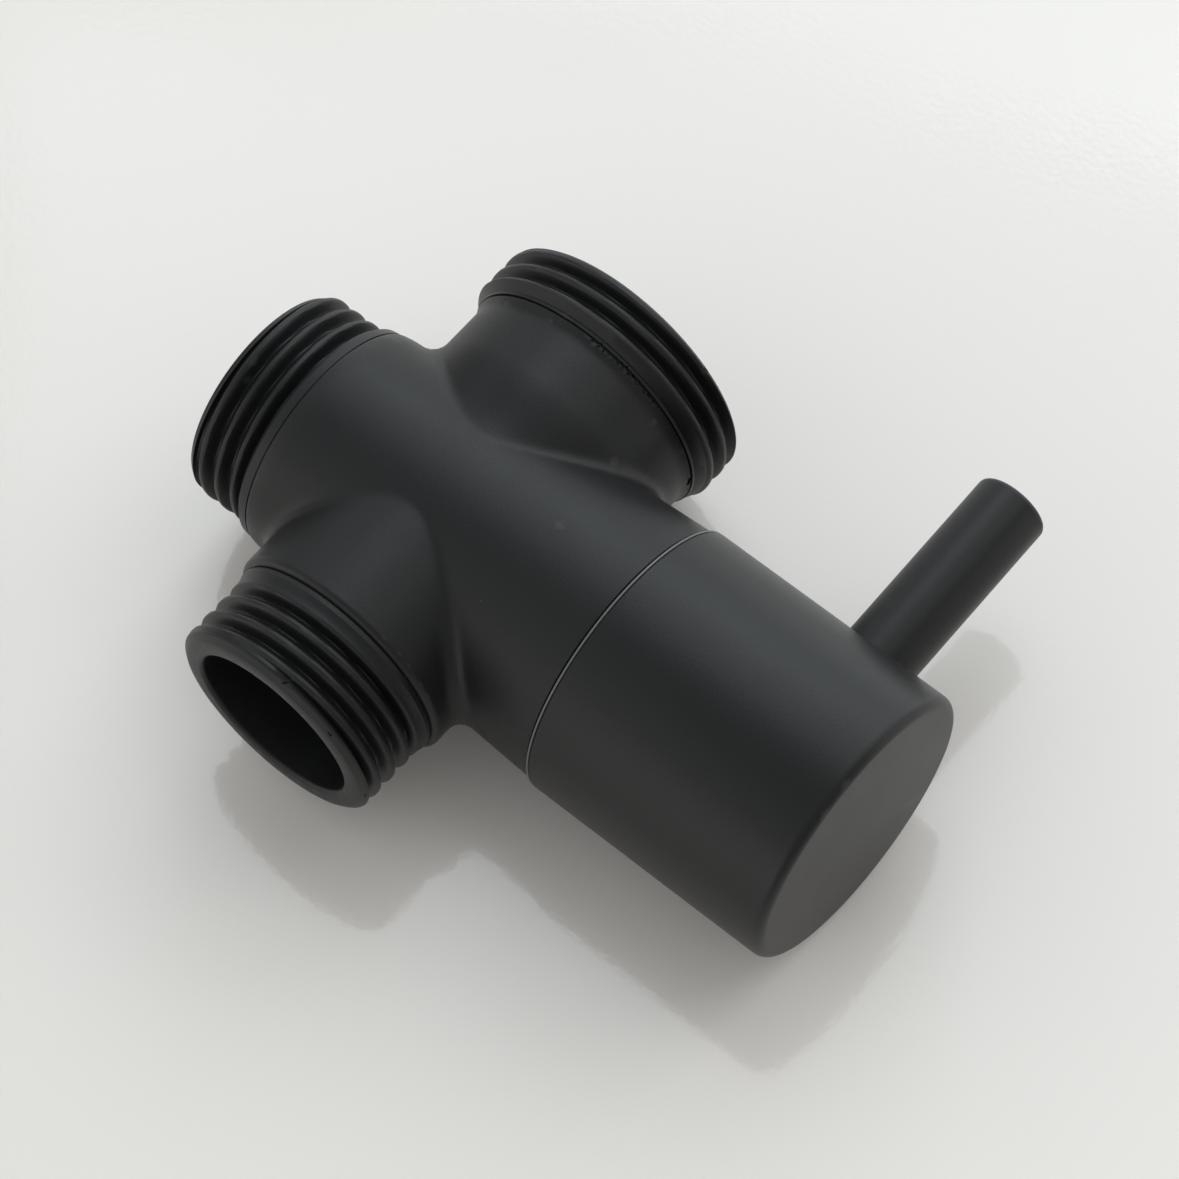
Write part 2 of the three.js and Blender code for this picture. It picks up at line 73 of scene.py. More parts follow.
REACH_A = CENTRE[0] - MOUNTS["port_a"][0] * MM
REACH_B = MOUNTS["port_b"][1] * MM - CENTRE[1]
REACH_C = CENTRE[1] - MOUNTS["port_c"][1] * MM
KNOB_START = corner("knob_shell", 0, 0)
KNOB_END = corner("knob_shell", 1, 0)
KNOB_RADIUS = CENTRE[2]
SPIGOT_END = corner("valve_body", 1, 0)
RING_START = corner("glide_ring", 0, 0)
RING_END = corner("glide_ring", 1, 0)
RING_RADIUS = corner("glide_ring", 1, 2)
LEVER_PLACE = (corner("lever_pin", 0, 0) + corner("lever_pin", 1, 0)) / 2
LEVER_RADIUS = (corner("lever_pin", 1, 0) - corner("lever_pin", 0, 0)) / 2
LEVER_TILT = -math.radians(KNOB_TURN["range_deg"][0])
LEVER_EDGE = 0.56
LEVER_REACH = (
    corner("lever_pin", 1, 1) - (LEVER_RADIUS - LEVER_EDGE) * math.sin(LEVER_TILT)
) / math.cos(LEVER_TILT)
SLEEVE_START = corner("cartridge_sleeve", 0, 0)
SLEEVE_END = corner("cartridge_sleeve", 1, 0)
ROTOR_START = corner("diverter_rotor", 0, 0)
ROTOR_END = corner("diverter_rotor", 1, 0)

# ------------------------------------------------------------------------------------------------
# Sizes of the visible shapes, in millimetres
# ------------------------------------------------------------------------------------------------

# Pipe thread: 14 turns to the inch, rounded by the coat. The places are distances from the crossing
# point: start and end of the cut, and where a crest passes the top of the port. run_out is the
# length over which the cut grows to its full depth.
PITCH = 25.4 / 14
THREAD_DEPTH = 1.0
CREST_WIDTH = 0.14
LEAD_IN = 0.5
THREAD_A = {"radius": 10.42, "start": 15.6, "run_out": 0.7, "end": 22.0, "crest_at_top": 19.07}
THREAD_B = {"radius": 13.22, "start": 17.6, "run_out": 1.2, "end": 22.6, "crest_at_top": 20.30}
THREAD_C = {"radius": 10.5, "start": 16.9, "run_out": 0.9, "end": 23.5, "crest_at_top": 20.74}

# Barrel: a slim cone, a little slimmer still between its waist and port A
BARREL_WAIST = -13.0
BARREL_WAIST_RADIUS = 11.35
BARREL_END = 19.15
BARREL_END_RADIUS = 13.1
BARREL_DROP = 0.06

# Necks: neck B flares between two places, and lifts again to a slight brim at its step
NECK_RADIUS = 11.2
NECK_B_END_RADIUS = 12.0
NECK_B_FLARE = (5.0, 11.5)
NECK_B_BRIM_START = 16.0
NECK_B_BRIM_HEIGHT = 0.35
NECK_FILLET = 1.6

# Where the cast surface of each arm stops at a fine step, with a rounded edge and a fine groove,
# and its threaded end takes over
STEP_A = 14.5
STEP_B = 17.05
STEP_C = 15.6
STEP_EDGE = 0.08
STEP_EDGE_C = 0.65
STEP_GROOVE = 0.12

# Ways through the body: each port's bore and rounded mouth, and the throat to the chamber
BORE_A = {"bore": 8.0, "mouth_edge": 0.4, "throat": 8.0, "cone": (9.0, 7.0)}
BORE_B = {"bore": 10.0, "mouth_edge": 0.4, "throat": 5.0, "cone": (15.0, 12.2)}
BORE_C = {"bore": 8.0, "mouth_edge": 0.44, "throat": 5.0, "cone": (14.5, 12.2)}
CHAMBER_START = -8.9
CHAMBER_RADIUS = 9.6
SPIGOT_RADIUS = 11.2
KEY_WIDTH = 2.0
KEY_HEIGHT = 0.8
KEY_LENGTH = 4.0
KEY_GAP = 0.2

# Knob, lever and grub screw
KNOB_EDGE = 1.0
KNOB_MOUTH_EDGE = 0.08
KNOB_CAVITY_RADIUS = 11.95
KNOB_CAVITY_END = 28.8
ADAPTER_END = 37.0
ADAPTER_ACROSS_FLATS = 9.6
SOCKET_GAP = 0.15
HOLE_GAP = 0.15
LEVER_SEAT = 12.85
STUD_RADIUS = 2.0
STUD_FOOT = 7.4
SEAT_GAP = 0.06
SEAT_DEPTH = 0.15
GRUB_PLACE = 31.4
GRUB_RADIUS = 2.0
GRUB_POINT_RADIUS = 1.4
GRUB_FOOT = 5.1
GRUB_END = 12.9
GRUB_SOCKET_ACROSS_FLATS = 2.3
GRUB_SOCKET_DEPTH = 2.0

# Liner and plug
SLEEVE_RADIUS = 9.4
SLEEVE_BORE = 7.5
SLEEVE_LIP = 0.9
SLEEVE_LIP_BORE = 5.9
SLEEVE_GROOVES = (-7.1, 7.6)
SLEEVE_RING = 1.1
WINDOW_RADIUS = 4.6
WINDOW_MOUTH = 5.2
SEAL_RECESS = {"floor": 8.28, "inner": 4.98, "outer": 6.42}
ROTOR_RADIUS = 7.3
ROTOR_BORE = 5.4
ROTOR_BORE_END = 5.4
ROTOR_GROOVES = (-6.4, 7.9)
ROTOR_RING = 1.0
ROTOR_SLOT_START = 6.8
ROTOR_SLOT_LENGTH = 9.0
ROTOR_SLOT_WIDTH = 3.4
PAD_RADIUS = 5.4
PAD_FLOOR = 6.2
PAD_GAP = 0.12

# Glide ring: a flange seen between body and knob, and a sleeve inside the knob
RING_BORE = 11.35
RING_SLEEVE_RADIUS = 11.75
RING_FLANGE = 0.2
RING_EDGE = 0.06

# Camera: compass angle and height of the view in degrees, a slight roll, and its aim in the frame
VIEW_AZIMUTH = 42.12
VIEW_ELEVATION = 62.81
VIEW_ROLL = -2.333
VIEW_DISTANCE = 398.0
VIEW_AIM = np.array([12.51, 3.11, 0.0])
VIEW_LENS = 140.95
SENSOR_WIDTH = 36.0

# Fineness of the shapes
CORE_CELL = 0.45
TURNED_SIDES = 144
THREAD_SIDES = 168
ROUND_SIDES = 192
THREAD_STEP = 0.12
ARC_STEP = math.radians(11.25)
CREASE = math.radians(32)


# ------------------------------------------------------------------------------------------------
# Meshes
# ------------------------------------------------------------------------------------------------

UP = np.array([0.0, 0.0, 1.0])
AXES = {
    "+X": np.array([1.0, 0.0, 0.0]),
    "-X": np.array([-1.0, 0.0, 0.0]),
    "+Y": np.array([0.0, 1.0, 0.0]),
    "-Y": np.array([0.0, -1.0, 0.0]),
    "-Z": np.array([0.0, 0.0, -1.0]),
}


def new_object(name, points, faces):
    mesh = bpy.data.meshes.new(name)
    mesh.from_pydata(np.asarray(points, float).tolist(), [], faces)
    mesh.validate()
    mesh.update()
    made = bpy.data.objects.new(name, mesh)
    bpy.context.scene.collection.objects.link(made)
    return made


def axes_matrix(x_axis, y_axis, z_axis, place=(0.0, 0.0, 0.0)):
    """Carries a shape's own X, Y and Z onto three directions, and its origin to a place."""
    rows = [[x_axis[i], y_axis[i], z_axis[i], place[i]] for i in range(3)]
    return Matrix(rows + [[0.0, 0.0, 0.0, 1.0]])


def turn_matrix(axis):
    """Carries a shape drawn about +Z onto an axis, with its +X side up."""
    out = AXES[axis]
    up = AXES["+X"] if abs(out[2]) > 0.5 else UP
    return axes_matrix(up, np.cross(out, up), out)


def rounded(corners):
    """Outline points from (along, radius, rounding) corners; a rounding of 0 keeps the corner."""
    points = []
    for i, (along, radius, rounding) in enumerate(corners):
        here = np.array([along, radius])
        if rounding == 0:
            points.append(here)
            continue
        before = np.array(corners[i - 1][:2]) - here
        after = np.array(corners[i + 1][:2]) - here
        before /= np.linalg.norm(before)
        after /= np.linalg.norm(after)
        half = math.acos(np.clip(before @ after, -1, 1)) / 2
        middle = here + (before + after) / np.linalg.norm(before + after) * rounding / math.sin(half)
        first = here + before * rounding / math.tan(half) - middle
        last = here + after * rounding / math.tan(half) - middle
        sweep = math.pi - 2 * half
        steps = max(2, math.ceil(sweep / ARC_STEP))
        for step in range(steps + 1):
            share = step / steps
            blend = math.sin((1 - share) * sweep) * first + math.sin(share * sweep) * last
            points.append(middle + blend / math.sin(sweep))
    return points


def turned(name, outline, axis="+X", sides=TURNED_SIDES):
    """Turns an outline of (along, radius) points about an axis. It starts and ends on the axis,
    or else closes on itself as a ring."""
    outline = [tuple(point) for point in outline]
    closed = outline[0][1] > 0
    angles = np.arange(sides) * 2 * math.pi / sides
    points = []
    rows = []
    for along, radius in outline:
        if radius == 0:
            rows.append([len(points)] * sides)
            points.append((0.0, 0.0, along))
            continue
        rows.append(list(range(len(points), len(points) + sides)))
        points.extend(zip(radius * np.cos(angles), radius * np.sin(angles), [along] * sides))
    if closed:
        rows.append(rows[0])
    faces = []
    for low, high in zip(rows[:-1], rows[1:]):
        for i in range(sides):
            j = (i + 1) % sides
            loop = [low[i], low[j], high[j], high[i]]
            faces.append([v for k, v in enumerate(loop) if v != loop[k - 1]])
    made = new_object(name, points, faces)
    made.data.transform(turn_matrix(axis))
    return made


def bar(name, start, end, radius, axis="+X", sides=TURNED_SIDES):
    return turned(name, [(start, 0), (start, radius), (end, radius), (end, 0)], axis, sides)


def tube(name, start, end, inner, outer, axis="+X"):
    return turned(name, [(start, inner), (start, outer), (end, outer), (end, inner)], axis)


def block(name, low, high):
    xs, ys, zs = zip(low, high)
    points = [(x, y, z) for x in xs for y in ys for z in zs]
    faces = [(0, 1, 3, 2), (4, 6, 7, 5), (0, 4, 5, 1), (2, 3, 7, 6), (0, 2, 6, 4), (1, 5, 7, 3)]
    return new_object(name, points, faces)


def hexagon(name, start, end, across_flats):
    """Hexagonal bar along +X with a flat facing down."""
    radius = across_flats / 2 / math.cos(math.pi / 6)
    turns = [math.pi * (i / 3 + 1 / 6) - math.pi / 2 for i in range(6)]
    ring = [(radius * math.cos(a), radius * math.sin(a)) for a in turns]
    points = [(x, y, z) for x in (start, end) for y, z in ring]
    sides = [(i, (i + 1) % 6, (i + 1) % 6 + 6, i + 6) for i in range(6)]
    return new_object(name, points, [tuple(range(5, -1, -1)), tuple(range(6, 12))] + sides)


def combine(target, operation, *others):
    """Joins the others to the target, cuts them from it or keeps what they share, and drops them."""
    for other in others:
        modifier = target.modifiers.new("combine", "BOOLEAN")
        modifier.operation = operation
        modifier.solver = "MANIFOLD"
        modifier.object = other
        settle(target)
        spent = other.data
        bpy.data.objects.remove(other)
        bpy.data.meshes.remove(spent)
    return target


def settle(made):
    """Makes what the modifiers give the object's own plain mesh, and removes them."""
    evaluated = made.evaluated_get(bpy.context.evaluated_depsgraph_get())
    mesh = bpy.data.meshes.new_from_object(evaluated)
    before = made.data
    made.modifiers.clear()
    made.data = mesh
    bpy.data.meshes.remove(before)
    mesh.name = made.name
    return made


def turn_to_rest(made):
    """Turns a piece drawn with the lever along +Y to the lever's place at rest."""
    made.data.transform(Matrix.Rotation(LEVER_TILT, 4, "X"))
    return made


def shift_along(made, distance):
    """Moves a piece drawn at the crossing point along the barrel."""
    made.data.transform(Matrix.Translation((distance, 0, 0)))
    return made


def finish_piece(made, material, body, slot, *nodes):
    """Carries a piece into the part's frame, shades it and ties it to its body and nodes."""
    made.data.transform(Matrix.Diagonal((1 / MM, 1 / MM, 1 / MM, 1)) @ Matrix.Translation(CENTRE))
    made.data.shade_smooth()
    made.data.set_sharp_from_angle(angle=CREASE)
    made.data.materials.clear()
    made.data.materials.append(material)
    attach(made, body)
    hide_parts(*nodes)
    return made


# ------------------------------------------------------------------------------------------------
# Body core: barrel and necks that run together in rounded fillets
# ------------------------------------------------------------------------------------------------


def filleted(a, b, facing, fillet):
    """Distance to two shapes joined with a rolling-ball fillet. facing is the cosine between their
    surface directions, so the fillet fades out where one surface runs smoothly into the other."""
    near_a = fillet - a
    near_b = fillet - b
    spread = np.maximum(near_a**2 + near_b**2 - 2 * near_a * near_b * facing, 0)
    ball = fillet - np.sqrt(spread / np.maximum(1 - facing**2, 1e-6))
    between = (near_a > near_b * facing) & (near_b > near_a * facing) & (near_a > 0) & (near_b > 0)
    return np.where(between, ball, np.minimum(a, b))


def barrel_radius(along):
    slope = (BARREL_END_RADIUS - BARREL_WAIST_RADIUS) / (BARREL_END - BARREL_WAIST)
    drop = np.maximum(BARREL_WAIST - along, 0) ** 2 * BARREL_DROP
    return BARREL_WAIST_RADIUS + slope * (along - BARREL_WAIST) - drop


def ease(value, low, high):
    """Smooth change from 0 at low to 1 at high."""
    share = np.clip((value - low) / (high - low), 0, 1)
    return share**2 * (3 - 2 * share)


def neck_b_radius(along):
    """Flares gently next to the barrel and again in a slight brim at its end."""
    flare = (NECK_B_END_RADIUS - NECK_RADIUS) * ease(along, *NECK_B_FLARE)
    brim = np.clip((along - NECK_B_BRIM_START) / (STEP_B - NECK_B_BRIM_START), 0, 1.2)
    return NECK_RADIUS + flare + NECK_B_BRIM_HEIGHT * brim**2


# How far past its step each arm of the core runs before it is trimmed back
CORE_SPARE = 1.2


def core_distance(points):
    """Signed distance to the body's outside without its threads, less than 0 inside."""
    x, y, z = points.T
    far = 2 * BARREL_END
    from_axis = np.maximum(np.hypot(y, z), 1e-6)
    from_neck = np.maximum(np.hypot(x, z), 1e-6)
    facing = z / from_axis * z / from_neck
    barrel = from_axis - barrel_radius(x)
    end_b = y - STEP_B - CORE_SPARE
    end_c = -y - STEP_C - CORE_SPARE
    neck_b = np.where(y > 0, np.maximum(from_neck - neck_b_radius(y), end_b), far)
    neck_c = np.where(y < 0, np.maximum(from_neck - NECK_RADIUS, end_c), far)
    with_b = filleted(barrel, neck_b, facing, NECK_FILLET)
    with_c = filleted(barrel, neck_c, facing, NECK_FILLET)
    ends = np.maximum(x - BARREL_END - CORE_SPARE, -x - STEP_A - CORE_SPARE)
    return np.maximum(np.minimum(with_b, with_c), ends)


def net_surface(distance, low, high, cell):
    """Closed quads on the zero surface of a distance function, with corners moved onto it."""
    low, high = np.asarray(low, float), np.asarray(high, float)
    counts = np.ceil((high - low) / cell).astype(int) + 1
    lines = [low[i] + np.arange(counts[i]) * cell for i in range(3)]
    grid = np.stack(np.meshgrid(*lines, indexing="ij"), -1)
    value = distance(grid.reshape(-1, 3)).reshape(counts)
    inside = value < 0
    cells = tuple(counts - 1)
    total = np.zeros(cells + (3,))
    hits = np.zeros(cells)
    for axis in range(3):
        first = [slice(None)] * 3
        second = [slice(None)] * 3
        first[axis], second[axis] = slice(0, -1), slice(1, None)
        crossed = inside[tuple(first)] != inside[tuple(second)]
        gap = np.where(crossed, value[tuple(first)] - value[tuple(second)], 1.0)
        share = np.where(crossed, value[tuple(first)] / gap, 0.0)
        place = grid[tuple(first)].copy()
        place[..., axis] += share * cell
        across = [i for i in range(3) if i != axis]
        for shift_a in (0, 1):
            for shift_b in (0, 1):
                pick = [slice(None)] * 3
                pick[across[0]] = slice(shift_a, shift_a + cells[across[0]])
                pick[across[1]] = slice(shift_b, shift_b + cells[across[1]])
                total += place[tuple(pick)] * crossed[tuple(pick)][..., None]
                hits += crossed[tuple(pick)]
    used = hits > 0
    number = np.full(cells, -1)
    number[used] = np.arange(used.sum())
    points = total[used] / hits[used][:, None]
    faces = []
    for axis in range(3):
        across = [(axis + 1) % 3, (axis + 2) % 3]
        first = [slice(1, -1)] * 3
        second = [slice(1, -1)] * 3
        first[axis], second[axis] = slice(0, -1), slice(1, None)
        low_in, high_in = inside[tuple(first)], inside[tuple(second)]
        where = np.argwhere(low_in != high_in)
        outward = low_in[low_in != high_in]
        where[:, across[0]] += 1
        where[:, across[1]] += 1
        ring = []
        for back_a, back_b in ((1, 1), (0, 1), (0, 0), (1, 0)):
            index = where.copy()
            index[:, across[0]] -= back_a
            index[:, across[1]] -= back_b
            ring.append(number[tuple(index.T)])
        quads = np.stack(ring, 1)
        quads[~outward] = quads[~outward][:, ::-1]
        faces.append(quads)
    step = cell * 0.02
    for _ in range(3):
        here = distance(points)
        shifts = step * np.eye(3)
        slope = np.stack([(distance(points + e) - distance(points - e)) / (2 * step) for e in shifts], 1)
        size = np.maximum((slope**2).sum(1), 0.25)
        points = points - np.clip(here / size, -cell, cell)[:, None] * slope
    return points, np.concatenate(faces).tolist()


# ------------------------------------------------------------------------------------------------
# Thread cutting tree
# ------------------------------------------------------------------------------------------------


class Tree:
    """Short hands for building a Geometry Nodes tree."""

    def __init__(self, name, inputs):
        self.tree = bpy.data.node_groups.new(name, "GeometryNodeTree")
        face = self.tree.interface
        face.new_socket("Geometry", in_out="INPUT", socket_type="NodeSocketGeometry")
        for label, (kind, value) in inputs.items():
            socket = face.new_socket(label, in_out="INPUT", socket_type=kind)
            if value is not None:
                socket.default_value = value
        face.new_socket("Geometry", in_out="OUTPUT", socket_type="NodeSocketGeometry")
        self.given = self.tree.nodes.new("NodeGroupInput").outputs
        self.result = self.tree.nodes.new("NodeGroupOutput").inputs[0]

    def node(self, kind, **settings):
        made = self.tree.nodes.new(kind)
        for key, value in settings.items():
            setattr(made, key, value)
        return made

    def feed(self, socket, value):
        if isinstance(value, bpy.types.NodeSocket):
            self.tree.links.new(value, socket)
        else:
            socket.default_value = value

    def math(self, operation, *values):
        made = self.node("ShaderNodeMath", operation=operation)
        for socket, value in zip(made.inputs, values):
            self.feed(socket, value)
        return made.outputs[0]

    def smooth_step(self, value, low, high):
        made = self.node("ShaderNodeMapRange", interpolation_type="SMOOTHSTEP")
        for socket, given in zip(made.inputs, (value, low, high, 0.0, 1.0)):
            self.feed(socket, given)
        return made.outputs[0]

    def end(self, geometry, material):
        """Ends the tree in Realize Instances and Set Material."""
        real = self.node("GeometryNodeRealizeInstances")
        self.feed(real.inputs[0], geometry)
        coated = self.node("GeometryNodeSetMaterial")
        self.feed(coated.inputs["Geometry"], real.outputs[0])
        self.feed(coated.inputs["Material"], material)
        self.feed(self.result, coated.outputs[0])


def thread_tree():
    """Cuts a right-hand pipe thread with rounded crests and roots into a blank turned about +Z."""
    length = "NodeSocketFloat"
    tree = Tree(
        "cut_pipe_thread",
        {
            "Pitch": (length, PITCH),
            "Depth": (length, THREAD_DEPTH),
            "Crest Radius": (length, 10.4),
            "Crest at Top": (length, 20.0),
            "Thread Start": (length, 16.0),
            "Thread End": (length, 22.0),
            "Run-out": (length, 0.7),
            "Lead-in": (length, LEAD_IN),
            "Crest Width": (length, CREST_WIDTH),
            "Material": ("NodeSocketMaterial", None),
        },
    )
    given = tree.given
    place = tree.node("ShaderNodeSeparateXYZ")
    tree.feed(place.inputs[0], tree.node("GeometryNodeInputPosition").outputs[0])
    x, y, along = place.outputs
    squares = tree.math("ADD", tree.math("MULTIPLY", x, x), tree.math("MULTIPLY", y, y))
    radius = tree.math("SQRT", squares)
    turn = tree.math("DIVIDE", tree.math("ARCTAN2", y, x), 2 * math.pi)
    steps = tree.math("DIVIDE", tree.math("SUBTRACT", along, given["Crest at Top"]), given["Pitch"])
    # 0 on a crest and 1 halfway between two crests
    share = tree.math("FRACT", tree.math("SUBTRACT", steps, turn))
    swing = tree.math("ABSOLUTE", tree.math("MULTIPLY_ADD", share, 2.0, -1.0))
    away = tree.math("SUBTRACT", 1.0, swing)
    form = tree.smooth_step(away, given["Crest Width"], 1.0)
    start_end = tree.math("ADD", given["Thread Start"], given["Run-out"])
    starting = tree.smooth_step(along, given["Thread Start"], start_end)
    end_start = tree.math("SUBTRACT", given["Thread End"], given["Lead-in"])
    ending = tree.smooth_step(along, given["Thread End"], end_start)
    in_thread = tree.math("MULTIPLY", starting, ending)
    cut = tree.math("MULTIPLY", tree.math("MULTIPLY", form, given["Depth"]), in_thread)
    allowed = tree.math("SUBTRACT", given["Crest Radius"], cut)
    lowered = tree.math("MINIMUM", radius, allowed)
    change = tree.math("MULTIPLY", in_thread, tree.math("SUBTRACT", lowered, radius))
    inmost = tree.math("SUBTRACT", given["Crest Radius"], 3.0)
    outer = tree.math("GREATER_THAN", radius, inmost)
    new_radius = tree.math("MULTIPLY_ADD", change, outer, radius)
    scale = tree.math("DIVIDE", new_radius, tree.math("MAXIMUM", radius, 0.001))
    moved = tree.node("ShaderNodeCombineXYZ")
    tree.feed(moved.inputs[0], tree.math("MULTIPLY", x, scale))
    tree.feed(moved.inputs[1], tree.math("MULTIPLY", y, scale))
    tree.feed(moved.inputs[2], along)
    setter = tree.node("GeometryNodeSetPosition")
    tree.feed(setter.inputs["Geometry"], given["Geometry"])
    tree.feed(setter.inputs["Position"], moved.outputs[0])
    tree.end(setter.outputs[0], given["Material"])
    return tree.tree


def use_tree(made, tree, values):
    """Runs a tree on an object, its inputs set by identifier, and keeps the result as a plain mesh."""
    modifier = made.modifiers.new(tree.name, "NODES")
    modifier.node_group = tree
    for item in tree.interface.items_tree:
        if item.in_out == "INPUT" and item.name in values:
            modifier[item.identifier] = values[item.name]
    return settle(made)


def fine_rows(start, end, radius):
    """Outline points close enough together to carry the thread."""
    count = round((end - start) / THREAD_STEP)
    return [(start + (end - start) * i / count, radius) for i in range(count + 1)]


def threaded_port(name, axis, shoulder, thread, lip, tree, material):
    """One port's outside: its shoulder, the thread, and its rounded lip. shoulder and lip are
    outline corners, in order from the crossing point outwards."""
    first, last = shoulder[-1][0], lip[0][0]
    outline = rounded(shoulder)[:-1] + fine_rows(first, last, thread["radius"]) + rounded(lip)[1:]
    made = turned(name, outline, "+X", THREAD_SIDES)
    made.data.transform(turn_matrix("+X").inverted())
    values = {
        "Crest Radius": thread["radius"],
        "Crest at Top": thread["crest_at_top"],
        "Thread Start": thread["start"],
        "Run-out": thread["run_out"],
        "Thread End": thread["end"],
        "Material": material,
    }
    use_tree(made, tree, values)
    made.data.transform(turn_matrix(axis))
    return made


# ------------------------------------------------------------------------------------------------
# Valve body
# ------------------------------------------------------------------------------------------------


def way_through(name, axis, reach, bore, mouth_edge, throat, cone):
    """Cutter for a port: rounded mouth, bore, and a cone from one place down to the throat."""
    cone_start, cone_end = cone
    beyond = reach + 1
    steps = 6
    turns = [math.pi / 2 * i / steps for i in range(steps + 1)]
    mouth = [
        (reach - mouth_edge * (1 - math.sin(t)), bore + mouth_edge * (1 - math.cos(t)), 0) for t in turns
    ]
    corners = [
        (0, 0, 0),
        (0, throat, 0),
        (cone_end, throat, 0),
        (cone_start, bore, 0.6 if bore > throat else 0),
        *mouth,
        (beyond, bore + mouth_edge, 0),
        (beyond, 0, 0),
    ]
    return turned(name, rounded(corners), axis)


def arm_trim(name, axis, step, radius, edge):
    """Cutter that ends an arm of the core square at its step, with a rounded edge."""
    inside = radius - 3
    outside = radius + 4
    back = step - edge
    beyond = step + 3
    clear = back - 0.3
    turns = [math.pi / 2 * i / 8 for i in range(9)]
    arc = [(back + edge * math.cos(t), radius - edge + edge * math.sin(t)) for t in turns]
    outline = [(step, inside), *arc, (clear, radius + 0.2), (clear, outside)]
    return turned(name, outline + [(beyond, outside), (beyond, inside)], axis)


# Corners of a mark in shares of its size: blunt at one end and fine at the other
CHIP_WEDGE = [(-0.5, -0.35), (0.5, -0.08), (0.5, 0.08), (-0.5, 0.35)]
BRIM_CHIP_DEPTH = 0.22
RIM_CHIP_DEPTH = 0.15


def scattered(number):
    """Uneven but repeatable share between 0 and 1."""
    return math.sin(12.9898 * number + 4.1) * 437.5853 % 1


def chips(name, axis, spots, depth):
    """Cutter for small marks: wedges given as (along, radius, degrees round from the top, size)."""
    points = []
    faces = []
    for number, (along, radius, angle, size) in enumerate(spots):
        turn = math.radians(angle)
        slant = math.radians(70 * scattered(number) - 35)
        out = np.array([math.cos(turn), math.sin(turn), 0.0])
        round_about = np.array([-math.sin(turn), math.cos(turn), 0.0])
        length = round_about * math.cos(slant) + UP * math.sin(slant)
        width = UP * math.cos(slant) - round_about * math.sin(slant)
        middle = out * radius + UP * along
        first = len(points)
        for height in (-depth, 0.5):
            for u, v in CHIP_WEDGE:
                points.append(middle + out * height + length * u * size + width * v * size)
        faces += [[first + 3 - i for i in range(4)], [first + 4 + i for i in range(4)]]
        for i in range(4):
            j = (i + 1) % 4
            faces.append([first + i, first + j, first + j + 4, first + i + 4])
    made = new_object(name, points, faces)
    made.data.transform(turn_matrix(axis))
    return made


def body_core():
    """Barrel and necks as cast, with each arm ended square at its step."""
    margin = CORE_SPARE + 1
    low = (-STEP_A - margin, -STEP_C - margin, -BARREL_END_RADIUS - margin)
    high = (BARREL_END + margin, STEP_B + margin, BARREL_END_RADIUS + margin)
    points, faces = net_surface(core_distance, low, high, CORE_CELL)
    return combine(
        new_object("valve_body_coated", points, faces),
        "DIFFERENCE",
        arm_trim("trim_a", "-X", STEP_A, barrel_radius(-STEP_A), STEP_EDGE),
        arm_trim("trim_b", "+Y", STEP_B, neck_b_radius(STEP_B), STEP_EDGE),
        arm_trim("trim_c", "-Y", STEP_C, NECK_RADIUS, STEP_EDGE_C),
        arm_trim("trim_knob", "+X", BARREL_END, BARREL_END_RADIUS, STEP_EDGE),
    )


def port_a_outside(tree, material):
    step_radius = barrel_radius(-STEP_A)
    shoulder = [
        (12.0, 0, 0),
        (12.6, 10.6, 0),
        (STEP_A, step_radius - 0.15, 0),
        (STEP_A + STEP_GROOVE, step_radius - 0.15, 0),
        (STEP_A + STEP_GROOVE + 0.03, step_radius - 0.06, 0),
        (15.5, 10.96, 0.1),
        (15.62, 10.76, 0),
        (15.86, 10.72, 0.1),
        (16.0, THREAD_A["radius"], 0),
    ]
    lip = [
        (REACH_A - 0.9, THREAD_A["radius"], 0),
        (REACH_A - 0.55, 10.25, 0.5),
        (REACH_A, 9.75, 0.35),
        (REACH_A, 0, 0),
    ]
    return threaded_port("port_a_outside", "-X", shoulder, THREAD_A, lip, tree, material)


def port_b_outside(tree, material):
    step_radius = neck_b_radius(STEP_B)
    shoulder = [
        (13.5, 0, 0),
        (14.1, 11.6, 0),
        (STEP_B, step_radius - 0.16, 0),
        (STEP_B + STEP_GROOVE, step_radius - 0.16, 0),
        (STEP_B + STEP_GROOVE + 0.03, step_radius + 0.08, 0),
        (17.45, 12.48, 0),
        (17.52, 12.4, 0),
        (17.7, 12.56, 0),
        (18.3, THREAD_B["radius"], 0),
    ]
    lip = [
        (REACH_B - 0.7, THREAD_B["radius"], 0),
        (REACH_B - 0.3, 13.12, 0.35),
        (REACH_B, 12.7, 0.25),
        (REACH_B, 0, 0),
    ]
    return threaded_port("port_b_outside", "+Y", shoulder, THREAD_B, lip, tree, material)


def port_c_outside(tree, material):
    shoulder = [
        (12.0, 0, 0),
        (12.6, 10.3, 0),
        (15.4, 10.52, 0),
        (STEP_C + STEP_GROOVE / 2, 10.52, 0),
        (STEP_C + STEP_GROOVE, 10.66, 0),
        (16.15, 10.7, 0.1),
        (16.3, 10.62, 0),
        (16.9, THREAD_C["radius"], 0),
    ]
    lip = [
        (REACH_C - 1.1, THREAD_C["radius"], 0),
        (REACH_C - 0.55, 10.42, 0.5),
        (REACH_C - 0.08, 9.75, 0.6),
        (REACH_C, 9.2, 0.6),
        (REACH_C, 0, 0),
    ]
    return threaded_port("port_c_outside", "-Y", shoulder, THREAD_C, lip, tree, material)


